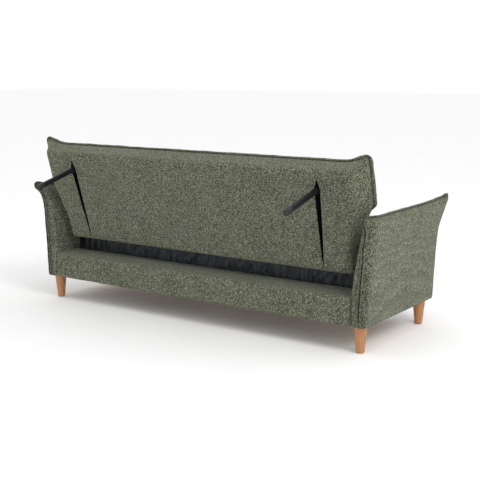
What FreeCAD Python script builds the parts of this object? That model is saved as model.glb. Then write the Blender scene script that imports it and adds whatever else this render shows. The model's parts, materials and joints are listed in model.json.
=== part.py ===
"""Click-clack sofa bed with a storage box, flared pillow arms and a pair of fold-out rear support legs.

Millimetres, +Z up, the front of the sofa towards -Y. While it is built, y = 0 is the rear face of the
base; every piece is then moved so that the origin is on the floor, under the middle of the whole sofa.
"""

import FreeCAD, Part
import math
import os

# ---- driving dimensions -------------------------------------------------------------------------

# base
BASE_BOTTOM = 125.0          # floor to the underside of the box
RAIL_TOP = 256.0             # top of the upholstered front and rear rails
RAIL_DEPTH = 174.0           # rear rail, front to back
BASE_DEPTH = 712.0           # rear face to the front face of the arms
BOARD = 18.0                 # furniture board
COVER = 8.0                  # fabric with its wadding, over boards
ARM_INNER = 900.0            # middle of the sofa to an arm, low down
SIDE_RAIL_OUTER = 895.0
SIDE_RAIL_WIDTH = 20.0
RAIL_HALF = SIDE_RAIL_OUTER - 2
RAIL_END_PADDING = 10.0
STORAGE_FLOOR = 6.0

# arms: height, inner face, outer face (distances from the middle of the sofa)
ARM_SECTIONS = [
    (BASE_BOTTOM, ARM_INNER, 984.0),
    (260.0, 901.0, 988.0),
    (365.0, 911.0, 992.0),
    (485.0, 932.0, 1001.0),
    (585.0, 960.0, 1014.0),
    (642.0, 998.0, 1044.0),
]
ARM_FRAME_TOP = 485.0
ARM_PADDING = 10.0           # on the sides of the arm frame
ARM_END_PADDING = 34.0       # on its rear and front ends

# legs
LEG_X = 930.0
LEG_YS = (-52.0, -657.0)
LEG_TOP_R = 31.0
LEG_FOOT_R = 19.0
GLIDE = 3.0
LEG_PLATE = 3.0
LEG_PLATE_SIDE = 58.0
STUD_R = 4.0

# click-clack hinge, the same axis for seat and back
PIVOT_Y = -190.0
PIVOT_Z = 372.0
PIN_R = 6.0
FIT = 0.05                   # radial clearance on the hinge pins
BOSS_R = 13.0
STEEL = 4.0                  # hinge plates
BASE_PLATE_X = 895.0
SEAT_ARM_X = 889.0
BACK_ARM_X = 872.0
BOLT_R = 4.0
BOLT_HEAD_R = 7.0
BOLT_HEAD = 4.0

# seat
SEAT_HALF = 884.0
SEAT_REAR = -206.0
SEAT_FRONT = -768.0
SEAT_BOTTOM = 258.0
SEAT_EDGE = 372.0            # top of the upright sides of the cushion
CROWN = 45.0                 # rise of both cushions above their edges
CROWN_INSET = 85.0
SEAT_RAIL_TOP = 322.0
SKIN = 4.0                   # cushion cover

# backrest, in its own upright frame: y = 0 rear face, z = 0 bottom edge
LEAN = 15.4
BACK_FOOT_Y = -84.0
BACK_FOOT_Z = 337.0
BACK_EDGE = 111.0            # thickness at the edges, before the crown
BACK_HEIGHT = 512.0
BACK_HALF_LOW = 868.0
LOW_UNTIL = 130.0            # height up to which the sides are upright
FLARE_AT = 360.0             # height where the flare is complete
BACK_HALF_REAR = 925.0       # flared half width at the rear face
BACK_HALF_FRONT = 972.0      # flared half width at the flange
FLANGE_DEPTH = 100.0         # flange, forward of the rear face
EAR_RISE = 28.0
EAR_LENGTH = 110.0
REAR_PANEL = 11.0
FRAME_FRONT = 42.0
FRAME_REAR = 12.0

# fold-out support legs, in the backrest's frame
SUPPORT_X = 738.0
SUPPORT_Z = 395.0
SUPPORT_DEPTH = 28.0         # pivot, forward of the rear face
SUPPORT_REACH = 259.0        # foot, behind the rear face
SUPPORT_SLANT = 2.8          # the slot leans towards the middle on its way down
TUBE_X = 20.0
TUBE_Z = 24.0
TUBE_WALL = 1.5
TUBE_TAIL = 6.5              # tube beyond its pivot
FOOT_LENGTH = 36.0
FOOT_WALL = 2.0
SLOT_WIDTH = 30.0
SLOT_BOTTOM = 92.0
SLOT_TOP = 420.0
SUPPORT_PIN_R = 4.0
BRACKET = 3.0
BRACKET_GAP = 12.0

V = FreeCAD.Vector
X_AXIS = V(1, 0, 0)
Y_AXIS = V(0, 1, 0)
SIDES = {"left": 1, "right": -1}

pieces = {}


# ---- helpers ------------------------------------------------------------------------------------

def box(x, y, z):
    """A block between two limits on each axis, given in either order."""
    lows = [min(pair) for pair in (x, y, z)]
    sizes = [abs(pair[1] - pair[0]) for pair in (x, y, z)]
    return Part.makeBox(*sizes, V(*lows))


def rod(radius, x_from, x_to, y, z):
    """A cylinder along X."""
    return Part.makeCylinder(radius, abs(x_to - x_from), V(min(x_from, x_to), y, z), X_AXIS)


def faceted_loft(rings):
    """A closed solid with flat faces through rings of equally many points."""
    faces = [Part.Face(Part.makePolygon(ring + ring[:1])) for ring in (rings[0], rings[-1])]
    for ring, following in zip(rings, rings[1:]):
        for i in range(len(ring)):
            j = (i + 1) % len(ring)
            corners = [ring[i], ring[j], following[j], following[i]]
            for triangle in (corners[:3], [corners[0], corners[2], corners[3]]):
                if (triangle[1] - triangle[0]).cross(triangle[2] - triangle[0]).Length > 1e-6:
                    faces.append(Part.Face(Part.makePolygon(triangle + triangle[:1])))
    solid = Part.Solid(Part.makeShell(faces))
    if solid.Volume < 0:
        solid.reverse()
    return solid.removeSplitter()


def rectangle(x, y, z):
    """A level ring of four corners."""
    return [V(x[0], y[0], z), V(x[1], y[0], z), V(x[1], y[1], z), V(x[0], y[1], z)]


def plate_yz(outline, x, thickness):
    """A flat plate across X, from its outline in y and z."""
    points = [V(x, y, z) for y, z in outline]
    return Part.Face(Part.makePolygon(points + points[:1])).extrude(V(thickness, 0, 0))


def group(shapes):
    return Part.makeCompound(shapes)


def mirrored(shape):
    """The same piece on the other side of the sofa."""
    return shape.mirror(V(0, 0, 0), X_AXIS)


def on_side(shape, side):
    return shape if side > 0 else mirrored(shape)


def add_pair(name, shape):
    """The left piece and its mirror image, as two nodes."""
    for word, side in SIDES.items():
        pieces[name + "_" + word] = on_side(shape, side)


def both(shapes):
    """The left pieces and their mirror images, as one group."""
    return group(list(shapes) + [mirrored(shape) for shape in shapes])


def cut_all(name, tools):
    """Drills the holes that fasteners need in a piece."""
    for tool in tools:
        pieces[name] = pieces[name].cut(tool)


def leaned(shape):
    """From the backrest's upright frame to its place in the sofa."""
    moved = shape.copy()
    moved.rotate(V(0, 0, 0), X_AXIS, -LEAN)
    moved.translate(V(0, BACK_FOOT_Y, BACK_FOOT_Z))
    return moved


# ---- base ---------------------------------------------------------------------------------------

def make_rear_rail():
    inside_top = RAIL_TOP - COVER
    wide = (-RAIL_HALF, RAIL_HALF)
    x = (RAIL_END_PADDING - RAIL_HALF, RAIL_HALF - RAIL_END_PADDING)
    outer = box(wide, (0, -RAIL_DEPTH), (BASE_BOTTOM, RAIL_TOP))
    room = box(x, (-COVER, COVER - RAIL_DEPTH), (BASE_BOTTOM, inside_top))
    pieces["rear_rail_cover"] = outer.cut(room)
    board_top = inside_top - BOARD
    back = (-COVER, -COVER - BOARD)
    front = (COVER - RAIL_DEPTH, COVER + BOARD - RAIL_DEPTH)
    pieces["rear_rail_back_board"] = box(x, back, (BASE_BOTTOM, board_top))
    pieces["rear_rail_front_board"] = box(x, front, (BASE_BOTTOM, board_top))
    pieces["rear_rail_top_board"] = box(x, (back[0], front[0]), (board_top, inside_top))
    ribs = []
    for place in (-780, -260, 260, 780):
        rib_x = (place - BOARD / 2, place + BOARD / 2)
        ribs.append(box(rib_x, (back[1], front[1]), (BASE_BOTTOM, board_top)))
    pieces["rear_rail_ribs"] = group(ribs)


def make_front_rail():
    x = (RAIL_END_PADDING - RAIL_HALF, RAIL_HALF - RAIL_END_PADDING)
    board = (COVER - BASE_DEPTH, COVER + BOARD - BASE_DEPTH)
    inside_top = RAIL_TOP - COVER
    pieces["front_rail_board"] = box(x, board, (BASE_BOTTOM, inside_top))
    outer = box((-RAIL_HALF, RAIL_HALF), (-BASE_DEPTH, board[1]), (BASE_BOTTOM, RAIL_TOP))
    pieces["front_rail_cover"] = outer.cut(pieces["front_rail_board"])


def make_storage_box():
    y = (-RAIL_DEPTH, COVER + BOARD - BASE_DEPTH)
    x = (SIDE_RAIL_OUTER - SIDE_RAIL_WIDTH, SIDE_RAIL_OUTER)
    bearer_top = BASE_BOTTOM + BOARD
    add_pair("side_rail", box(x, y, (BASE_BOTTOM, RAIL_TOP - COVER)))
    floor_z = (bearer_top, bearer_top + STORAGE_FLOOR)
    pieces["storage_floor"] = box((-x[0], x[0]), y, floor_z)
    bearers = []
    for place in (-560, 0, 560):
        bearer_x = (place - 25, place + 25)
        bearers.append(box(bearer_x, y, (BASE_BOTTOM, bearer_top)))
    pieces["storage_floor_bearers"] = group(bearers)


def arm_rings(side_inset, end_inset, top):
    """Level sections of an arm, drawn in at its sides and ends, up to a height."""
    rings = []
    for z, inner, outer in ARM_SECTIONS:
        if z <= top:
            x = (inner + side_inset, outer - side_inset)
            rings.append(rectangle(x, (-end_inset, end_inset - BASE_DEPTH), z))
    return rings


def make_arms():
    frame = faceted_loft(arm_rings(ARM_PADDING, ARM_END_PADDING, ARM_FRAME_TOP))
    outer = faceted_loft(arm_rings(0, 0, ARM_SECTIONS[-1][0]))
    add_pair("arm_frame", frame)
    add_pair("arm_cover", outer.cut(frame))


def make_legs():
    plate_z = BASE_BOTTOM - LEG_PLATE
    height = plate_z - GLIDE
    plates, glides, studs = [], [], []
    for word, side in SIDES.items():
        for end, y in zip(("rear", "front"), LEG_YS):
            x = side * LEG_X
            cone = Part.makeCone(LEG_FOOT_R, LEG_TOP_R, height, V(x, y, GLIDE))
            rim = [edge for edge in cone.Edges if edge.BoundBox.ZMax < GLIDE + 1 and edge.Closed]
            cone = cone.makeFillet(3.0, rim)
            stud = Part.makeCylinder(STUD_R, 60, V(x, y, plate_z - 30))
            pieces["leg_" + end + "_" + word] = cone.cut(stud)
            half = LEG_PLATE_SIDE / 2
            plate = box((x - half, x + half), (y - half, y + half), (plate_z, BASE_BOTTOM))
            plates.append(plate.cut(stud))
            glides.append(Part.makeCylinder(LEG_FOOT_R - 4, GLIDE, V(x, y, 0)))
            cut_all("arm_frame_" + word, [stud])
            studs.append(stud)
    pieces["leg_plates"] = group(plates)
    pieces["leg_glides"] = group(glides)
    pieces["leg_studs"] = group(studs)


def make_arm_bolts():
    inner = SIDE_RAIL_OUTER - SIDE_RAIL_WIDTH
    bolts = []
    for y in (-350, -500, -650):
        shank = rod(BOLT_R, inner, inner + 70, y, 200)
        head = rod(BOLT_HEAD_R, inner - BOLT_HEAD, inner, y, 200)
        bolts.append(shank.fuse(head).removeSplitter())
    for word, side in SIDES.items():
        tools = [on_side(bolt, side) for bolt in bolts]
        for name in ("side_rail_", "arm_frame_", "arm_cover_"):
            cut_all(name + word, tools)
    pieces["arm_bolts"] = both(bolts)


# ---- hinge --------------------------------------------------------------------------------------

def boss(x, y, z):
    return rod(BOSS_R, x, x + STEEL, y, z)


def drilled(plate, x, y, z):
    """A hinge plate with the hole for its pin."""
    return plate.cut(rod(PIN_R + FIT, x - 1, x + STEEL + 1, y, z))


def make_base_hinge():
    rear = PIVOT_Y + BOSS_R
    front = PIVOT_Y - BOSS_R
    outline = [(rear, 160), (-290, 160), (-290, 240), (front, 320), (front, PIVOT_Z), (rear, PIVOT_Z)]
    plate = plate_yz(outline, BASE_PLATE_X, STEEL).fuse(boss(BASE_PLATE_X, PIVOT_Y, PIVOT_Z))
    plate = drilled(plate.removeSplitter(), BASE_PLATE_X, PIVOT_Y, PIVOT_Z)
    inner = SIDE_RAIL_OUTER - SIDE_RAIL_WIDTH
    bolts = []
    for y, z in ((-200, 180), (-270, 180), (-235, 228)):
        shank = rod(BOLT_R, inner, BASE_PLATE_X + STEEL, y, z)
        head = rod(BOLT_HEAD_R, inner - BOLT_HEAD, inner, y, z)
        bolts.append(shank.fuse(head).removeSplitter())
        plate = plate.cut(bolts[-1])
    add_pair("hinge_base_plate", plate)
    for word, side in SIDES.items():
        cut_all("side_rail_" + word, [on_side(bolt, side) for bolt in bolts])
    pieces["hinge_base_bolts"] = both(bolts)


def make_hinge_pin():
    start = BACK_ARM_X - 0.5
    end = BASE_PLATE_X + STEEL
    shaft = rod(PIN_R, start, end, PIVOT_Y, PIVOT_Z)
    inner_head = rod(PIN_R + 3, start - 2, start, PIVOT_Y, PIVOT_Z)
    outer_head = rod(PIN_R + 3, end, end + 2, PIVOT_Y, PIVOT_Z)
    pieces["hinge_pins"] = both([shaft.fuse([inner_head, outer_head]).removeSplitter()])


def make_hinge_spring():
    """The coil that helps to lift the seat, wound round the pin between the two moving plates."""
    wire_r = 1.3
    coil_r = PIN_R + wire_r + 0.4
    pitch = 2 * wire_r + 0.3
    room = SEAT_ARM_X - BACK_ARM_X - STEEL
    turns = 3
    path = Part.makeHelix(pitch, turns * pitch, coil_r)
    profile = Part.Wire(Part.makeCircle(wire_r, V(coil_r, 0, 0), Y_AXIS))
    coil = Part.Wire(path.Edges).makePipeShell([profile], True, True)
    coil.rotate(V(0, 0, 0), Y_AXIS, 90)
    middle = BACK_ARM_X + STEEL + room / 2
    coil.translate(V(middle - turns * pitch / 2, PIVOT_Y, PIVOT_Z))
    pieces["hinge_springs"] = both([coil])


def make_seat_hinge():
    outline = [
        (PIVOT_Y, PIVOT_Z + BOSS_R),
        (-262, 330),
        (-365, 312),
        (-365, 274),
        (-250, 274),
        (PIVOT_Y - 4, PIVOT_Z - BOSS_R),
    ]
    arm = plate_yz(outline, SEAT_ARM_X, STEEL).fuse(boss(SEAT_ARM_X, PIVOT_Y, PIVOT_Z))
    arm = drilled(arm.removeSplitter(), SEAT_ARM_X, PIVOT_Y, PIVOT_Z)
    bolts = []
    for y in (-275, -345):
        shank = rod(BOLT_R, SEAT_HALF - 24, SEAT_ARM_X + STEEL, y, 293)
        collar = rod(BOLT_HEAD_R, SEAT_HALF, SEAT_ARM_X, y, 293)
        head = rod(BOLT_HEAD_R, SEAT_ARM_X + STEEL, SEAT_ARM_X + STEEL + BOLT_HEAD, y, 293)
        bolts.append(shank.fuse([collar, head]).removeSplitter())
        arm = arm.cut(bolts[-1])
    add_pair("hinge_seat_arm", arm)
    for word, side in SIDES.items():
        tools = [on_side(bolt, side) for bolt in bolts]
        cut_all("seat_side_rail_" + word, tools)
        cut_all("seat_cover", tools)
    pieces["hinge_seat_bolts"] = both(bolts)


def make_back_hinge():
    """In the backrest's frame; the pivot is on its front face, just above its bottom edge."""
    y, z = pivot_in_back()
    outline = [(y - BOSS_R, z), (-98, 118), (-58, 118), (-58, 40), (y, z - BOSS_R)]
    arm = plate_yz(outline, BACK_ARM_X, STEEL).fuse(boss(BACK_ARM_X, y, z))
    arm = drilled(arm.removeSplitter(), BACK_ARM_X, y, z)
    bolts = []
    for bolt_y, bolt_z in ((-76, 60), (-76, 100)):
        shank = rod(BOLT_R, BACK_HALF_LOW - 28, BACK_ARM_X + STEEL, bolt_y, bolt_z)
        collar = rod(BOLT_HEAD_R, BACK_HALF_LOW, BACK_ARM_X, bolt_y, bolt_z)
        head_x = BACK_ARM_X + STEEL
        head = rod(BOLT_HEAD_R, head_x, head_x + BOLT_HEAD, bolt_y, bolt_z)
        bolts.append(shank.fuse([collar, head]).removeSplitter())
        arm = arm.cut(bolts[-1])
    add_pair("hinge_back_arm", leaned(arm))
    placed = [leaned(bolt) for bolt in bolts]
    for bolt in placed:
        for name in ("back_hinge_blocks", "back_foam", "back_cover"):
            cut_all(name, [bolt, mirrored(bolt)])
    pieces["hinge_back_bolts"] = both(placed)


# ---- seat ---------------------------------------------------------------------------------------

def seat_rings(inset, bottom):
    half = SEAT_HALF - inset
    rear = SEAT_REAR - inset
    front = SEAT_FRONT + inset
    top = SEAT_EDGE + CROWN - inset
    crown = CROWN_INSET
    return [
        rectangle((-half, half), (rear, front), bottom),
        rectangle((-half, half), (rear, front), SEAT_EDGE),
        rectangle((crown - half, half - crown), (rear - crown, front + crown), top),
    ]


def make_seat():
    outer = faceted_loft(seat_rings(0, SEAT_BOTTOM))
    inner = faceted_loft(seat_rings(SKIN, SEAT_BOTTOM))
    pieces["seat_cover"] = outer.cut(inner)
    strap_top = SEAT_RAIL_TOP + 2
    pieces["seat_foam"] = faceted_loft(seat_rings(SKIN, strap_top + 2))
    z = (SEAT_BOTTOM, SEAT_RAIL_TOP)
    half = SEAT_HALF - SKIN - 2
    rear = SEAT_REAR - SKIN - 2
    front = SEAT_FRONT + SKIN + 2
    width = 26
    pieces["seat_rear_rail"] = box((-half, half), (rear, rear - width), z)
    pieces["seat_front_rail"] = box((-half, half), (front, front + width), z)
    between = (rear - width, front + width)
    add_pair("seat_side_rail", box((half - width, half), between, z))
    pieces["seat_cross_rail"] = box((-width, width), between, z)
    straps = []
    for place in range(-750, 751, 150):
        strap_x = (place - 30, place + 30)
        straps.append(box(strap_x, (rear - 6, front + 6), (SEAT_RAIL_TOP, strap_top)))
    pieces["seat_webbing"] = group(straps)
    cloth = 1.2
    pieces["seat_dust_cloth"] = box((-half, half), (rear, front), (SEAT_BOTTOM - cloth, SEAT_BOTTOM))
    lining = (SEAT_REAR, SEAT_REAR + 1.5)
    pieces["seat_rear_lining"] = box((-866, 866), lining, (SEAT_BOTTOM, SEAT_EDGE - 8))


# ---- backrest -----------------------------------------------------------------------------------

def pivot_in_back():
    """The hinge axis as y and z in the backrest's frame."""
    lean = math.radians(LEAN)
    y = PIVOT_Y - BACK_FOOT_Y
    z = PIVOT_Z - BACK_FOOT_Z
    return y * math.cos(lean) - z * math.sin(lean), y * math.sin(lean) + z * math.cos(lean)


def back_ring(depth, inset, grow=0.0, sink=0.0):
    """The outline of the backrest at a depth forward of its rear face."""
    share = min(depth, FLANGE_DEPTH) / FLANGE_DEPTH
    low = BACK_HALF_LOW - inset - sink
    wide = BACK_HALF_REAR + (BACK_HALF_FRONT - BACK_HALF_REAR) * share - inset - sink
    top = BACK_HEIGHT - inset - sink
    ear = EAR_RISE * share * grow
    right = [
        (low, inset + sink),
        (low, LOW_UNTIL + sink),
        (wide, FLARE_AT),
        (wide + ear / 3, top + ear),
        (wide - EAR_LENGTH, top),
    ]
    outline = right + [(-x, z) for x, z in reversed(right)]
    return [V(x, -depth, z) for x, z in outline]


def back_body(inset, rear):
    """The crowned body of the backrest, drawn in by the inset."""
    return faceted_loft([
        back_ring(rear, inset),
        back_ring(FLANGE_DEPTH, inset, grow=1.0),
        back_ring(BACK_EDGE, inset, grow=0.6),
        back_ring(BACK_EDGE + CROWN - inset, inset, sink=CROWN_INSET),
    ])


def slot_tool(depth):
    """What the support leg needs open, as deep as given, for the left side."""
    half = SLOT_WIDTH / 2
    tool = box((SUPPORT_X - half, SUPPORT_X + half), (1, -depth), (SLOT_BOTTOM, SLOT_TOP))
    tool.rotate(V(SUPPORT_X, 0, SUPPORT_Z), Y_AXIS, SUPPORT_SLANT)
    return tool


def make_back():
    inner = back_body(SKIN, REAR_PANEL)
    pieces["back_cover"] = leaned(back_body(0, REAR_PANEL).cut(inner))
    wide = (-BACK_HALF_FRONT, BACK_HALF_FRONT)
    frame_room = box(wide, (1, -FRAME_FRONT - 8), (-1, BACK_HEIGHT + EAR_RISE))
    pieces["back_foam"] = leaned(inner.cut(frame_room))
    panel = faceted_loft([back_ring(0, 0), back_ring(REAR_PANEL, 0)])
    slot = slot_tool(REAR_PANEL + 1)
    pieces["back_rear_panel"] = leaned(panel.cut(slot).cut(mirrored(slot)))

    y = (-FRAME_REAR, -FRAME_FRONT)
    half = BACK_HALF_LOW - SKIN - 2
    pieces["back_bottom_rail"] = leaned(box((-half, half), y, (8, 58)))
    pieces["back_top_rail"] = leaned(box((-half, half), y, (438, 478)))
    pieces["back_side_rails"] = both([leaned(box((757, half), y, (58, 438)))])
    pieces["back_inner_posts"] = both([leaned(box((660, 702), y, (58, 438)))])
    straps = []
    for place in range(-600, 601, 150):
        strap_x = (place - 30, place + 30)
        straps.append(box(strap_x, (-FRAME_FRONT, -FRAME_FRONT - 2), (14, 474)))
    pieces["back_webbing"] = leaned(group(straps))


def make_hinge_blocks():
    """Blocks inside the cover that the back hinge arms are bolted to; the foam is cut away for them."""
    block = box((820, BACK_HALF_LOW - SKIN - 2), (-FRAME_FRONT, -106), (10, 116))
    placed = leaned(block)
    pieces["back_hinge_blocks"] = both([placed])
    cut_all("back_foam", [placed, mirrored(placed)])


def make_support_legs():
    reach = SUPPORT_REACH + SUPPORT_DEPTH
    centre_y = -SUPPORT_DEPTH
    tube_end = reach - 4 + centre_y
    start = centre_y - TUBE_TAIL
    tube = box((-TUBE_X / 2, TUBE_X / 2), (start, tube_end), (-TUBE_Z / 2, TUBE_Z / 2))
    tube = rounded_along_y(tube, 6.0)
    core_x = TUBE_X / 2 - TUBE_WALL
    core_z = TUBE_Z / 2 - TUBE_WALL
    core = box((-core_x, core_x), (start - 1, tube_end + 1), (-core_z, core_z))
    core = rounded_along_y(core, 6.0 - TUBE_WALL)
    blank = tube
    tube = tube.cut(core)
    bore = rod(SUPPORT_PIN_R + FIT, -TUBE_X, TUBE_X, centre_y, 0)
    tube = tube.cut(bore)

    foot_x = TUBE_X / 2 + FOOT_WALL
    foot_z = TUBE_Z / 2 + FOOT_WALL
    foot_end = SUPPORT_REACH
    foot = box((-foot_x, foot_x), (foot_end - FOOT_LENGTH, foot_end), (-foot_z, foot_z))
    foot = rounded_along_y(foot, 6.0 + FOOT_WALL)
    foot = foot.cut(blank)

    cheek_x = BRACKET_GAP + BRACKET
    web = (-FRAME_FRONT, -FRAME_FRONT - BRACKET)
    cheeks = box((-cheek_x, cheek_x), (-FRAME_REAR - 2, web[0]), (-22, 22))
    cheeks = cheeks.cut(box((-BRACKET_GAP, BRACKET_GAP), (0, web[0]), (-30, 30)))
    bracket = cheeks.fuse(box((-48, 44), web, (-22, 22))).removeSplitter()
    pin = rod(SUPPORT_PIN_R, -cheek_x, cheek_x, centre_y, 0)
    bracket = bracket.cut(pin)
    screws = []
    for x in (-41, 37):
        for z in (-14, 14):
            head = Part.makeCylinder(4.5, 2.5, V(x, web[1] - 2.5, z), Y_AXIS)
            shank = Part.makeCylinder(2.2, 24, V(x, web[1], z), Y_AXIS)
            screws.append(head.fuse(shank).removeSplitter())
            bracket = bracket.cut(screws[-1])

    def placed(shape):
        turned = shape.copy()
        turned.rotate(V(0, 0, 0), Y_AXIS, SUPPORT_SLANT)
        turned.translate(V(SUPPORT_X, 0, SUPPORT_Z))
        return leaned(turned)

    add_pair("support_leg_tube", placed(tube))
    add_pair("support_leg_foot", placed(foot))
    pieces["support_leg_brackets"] = both([placed(bracket)])
    pieces["support_leg_pins"] = both([placed(pin)])
    placed_screws = [placed(screw) for screw in screws]
    pieces["support_bracket_screws"] = both(placed_screws)
    for screw in placed_screws:
        for name in ("back_side_rails", "back_inner_posts"):
            cut_all(name, [screw, mirrored(screw)])


def rounded_along_y(shape, radius):
    """The same bar with its four long edges rounded."""
    bounds = shape.BoundBox
    long_edges = [edge for edge in shape.Edges if edge.BoundBox.YLength > bounds.YLength - 0.1]
    return shape.makeFillet(radius, long_edges)


# ---- the whole sofa -----------------------------------------------------------------------------

def build():
    """Makes every piece and returns how far they are moved to bring the origin under the middle."""
    make_rear_rail()
    make_front_rail()
    make_storage_box()
    make_arms()
    make_legs()
    make_arm_bolts()
    make_base_hinge()
    make_hinge_pin()
    make_hinge_spring()
    make_seat()
    make_seat_hinge()
    make_back()
    make_hinge_blocks()
    make_back_hinge()
    make_support_legs()
    whole = group(list(pieces.values())).optimalBoundingBox(False, False)
    return -(whole.YMin + whole.YMax) / 2


def main():
    shift = build()
    os.makedirs("parts", exist_ok=True)
    for name, shape in sorted(pieces.items()):
        shape.translate(V(0, shift, 0))
        shape.exportStep("parts/" + name + ".step")
    print(len(pieces), "pieces; rear face of the base at y =", round(shift, 2))


main()
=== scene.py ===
"""Looks of a click-clack sofa bed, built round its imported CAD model.

Metres, +Z up, the front of the sofa towards -Y. A cushion is made in its own frame: x across, s away
from its hinge edge and t through its thickness, from the hard side to the crowned one.
"""

import json
import math

import bmesh
import bpy
import numpy as np
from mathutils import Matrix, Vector, noise


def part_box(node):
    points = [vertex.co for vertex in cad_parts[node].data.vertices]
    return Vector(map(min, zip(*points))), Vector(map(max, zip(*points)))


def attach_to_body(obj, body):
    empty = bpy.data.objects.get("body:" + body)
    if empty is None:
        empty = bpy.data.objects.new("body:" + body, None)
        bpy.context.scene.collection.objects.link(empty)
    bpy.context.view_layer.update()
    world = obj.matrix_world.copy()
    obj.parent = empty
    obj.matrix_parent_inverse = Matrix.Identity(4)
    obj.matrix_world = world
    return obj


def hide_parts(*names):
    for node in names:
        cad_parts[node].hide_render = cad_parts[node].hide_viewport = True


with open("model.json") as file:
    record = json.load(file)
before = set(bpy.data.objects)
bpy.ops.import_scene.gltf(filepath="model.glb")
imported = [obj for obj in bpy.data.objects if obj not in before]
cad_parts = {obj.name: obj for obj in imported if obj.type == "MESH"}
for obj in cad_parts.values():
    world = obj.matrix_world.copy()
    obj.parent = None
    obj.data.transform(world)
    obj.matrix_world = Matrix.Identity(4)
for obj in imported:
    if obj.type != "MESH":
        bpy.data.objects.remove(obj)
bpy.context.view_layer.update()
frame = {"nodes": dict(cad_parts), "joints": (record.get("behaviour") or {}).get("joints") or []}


# ---- places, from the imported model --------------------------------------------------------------

rail_low, rail_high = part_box("rear_rail_cover")
front_low, front_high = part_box("front_rail_cover")
arm_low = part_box("arm_cover_left")[0]
seat_low, seat_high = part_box("seat_cover")
panel_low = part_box("back_rear_panel")[0]
lining_low, lining_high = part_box("seat_rear_lining")
dust_low, dust_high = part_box("seat_dust_cloth")
joints = {joint["name"]: joint for joint in frame["joints"]}

LEAN = math.radians(90 - joints["backrest_recline"]["range_deg"][1])
REAR_PANEL = 0.011  # thickness of the CAD panel on the rear of the backrest
FOOT_Y = panel_low.y + REAR_PANEL * math.cos(LEAN)
FOOT_Z = panel_low.z
REAR = rail_high.y  # rear face of the base
FRONT = arm_low.y  # front face of the arms
BOTTOM = arm_low.z  # underside of the box

# backrest
BACK_HALF_SEAM = 0.965  # flared half width at the seam
FLANK_HEIGHTS = (0.130, 0.160, 0.200, 0.315)
FLANK_REAR = (0.868, 0.884, 0.893, 0.922)
FLANK_SEAM = (0.868, 0.886, 0.898, BACK_HALF_SEAM)
BACK_TOP_REAR = 0.492
BACK_TOP_SEAM = 0.500
BACK_SEAM_DEPTH = 0.088
BACK_FOOT_DEPTH = 0.110  # depth of the seam where the backrest meets the seat
BACK_FRONT = 0.156  # depth of the crowned front
BACK_PUFF = 0.006  # bulge of the edge panel between its bend and the seam
BACK_EDGE = 0.024  # bend between the rear panel and the edge panel
BACK_FLANGE_START = 0.288  # the flange begins where the back widens
HINGE_FADE = 0.16  # the seams move towards the hinge pin over this length
EAR_RISE = 0.034
EAR_LENGTH = 0.130
EAR_ROUND = 0.022

# slits that the support legs fold into
SLIT_X = 0.738
SLIT_PIVOT = 0.395
SLIT_SLANT = math.radians(2.8)
SLIT_BOTTOM = 0.012
SLIT_WIDEST = 0.400
SLIT_TOP = 0.446
SLIT_HALF = 0.0150
POCKET_HALF = 0.0156

# flanged seams
FLANGE = 0.0115
FLANGE_SIDE = 0.0155
FLANGE_THICK = 0.010

RAIL_HALF = 0.9005  # the rails meet the arms

# seat
SEAT_SEAM = 0.092  # seam above the underside
SEAT_TOP = seat_high.z - seat_low.z
SEAT_REAR_SEAM = 0.113  # the same at the rear, where it meets the backrest
SEAT_HALF = seat_high.x
SEAT_DEPTH = seat_high.y - seat_low.y
SEAT_CORNER = 0.012
SEAT_EDGE = 0.004  # bend of the lower edge
SEAT_FLANGE_START = 0.26

LINING_HANG = 0.022  # loose edge of the rear lining below the seat
LINING_TUCK = 0.006  # its upper edge goes up under the backrest
LINING_FOLD = 0.0052

# arms
ARM_TOP = 0.622
ARM_SEAM_LOW = 0.60  # where the seam lies between the inner and the outer face
ARM_SEAM_HIGH = 0.45
ARM_EDGE = 0.026
ARM_TOP_EDGE = 0.050
ARM_CORNER = 0.018
ARM_FRONT_EDGE = 0.018
ARM_LOW_EDGE = 0.010
ARM_DRAWN = 0.030  # how far the upper corners are drawn out
EAR_LEAN = {1: -0.008, -1: 0.026}  # each rear ear was pressed its own way
EAR_LIFT = {1: 0.012, -1: 0.0}

STEP = 0.014  # usual size of a face

CAMERA_PLACE = (-2.842, 3.831, 1.243)
CAMERA_TURN_DEG = (79.77, 0.0, 215.18)
CAMERA_LENS = 71.55


# ---- small helpers ------------------------------------------------------------------------------

def smooth(value):
    """0 below 0, 1 above 1, and an S curve between."""
    value = np.clip(value, 0, 1)
    return value * value * (3 - 2 * value)


def quarter(value):
    """Height of a quarter circle above its start."""
    value = np.clip(value, 0, 1)
    return np.sqrt(1 - (1 - value) ** 2)


def together(*parts):
    """Separate coordinates as points."""
    return np.stack(parts, axis=-1)


def spread(start, end, step):
    """Evenly spaced values that include both ends."""
    return np.linspace(start, end, max(2, int(round(abs(end - start) / step)) + 1))


def leaned(x, s, t):
    """From the backrest's own frame to its place."""
    y = FOOT_Y + s * math.sin(LEAN) - t * math.cos(LEAN)
    z = FOOT_Z + s * math.cos(LEAN) + t * math.sin(LEAN)
    return together(x, y, z)


def seated(x, s, t):
    """From the seat cushion's own frame to its place."""
    return together(x, seat_high.y - s, seat_low.z + t)


def lumps(points, size, amount, seed):
    """Gentle unevenness: one value for each point."""
    flat = np.asarray(points, float).reshape(-1, 3)
    offset = Vector((seed * 7.3, seed * 3.1, seed * 5.7))
    values = [noise.noise(Vector(point) / size + offset) * amount for point in flat]
    return np.array(values).reshape(np.asarray(points).shape[:-1])


def link(made):
    bpy.context.scene.collection.objects.link(made)


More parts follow.
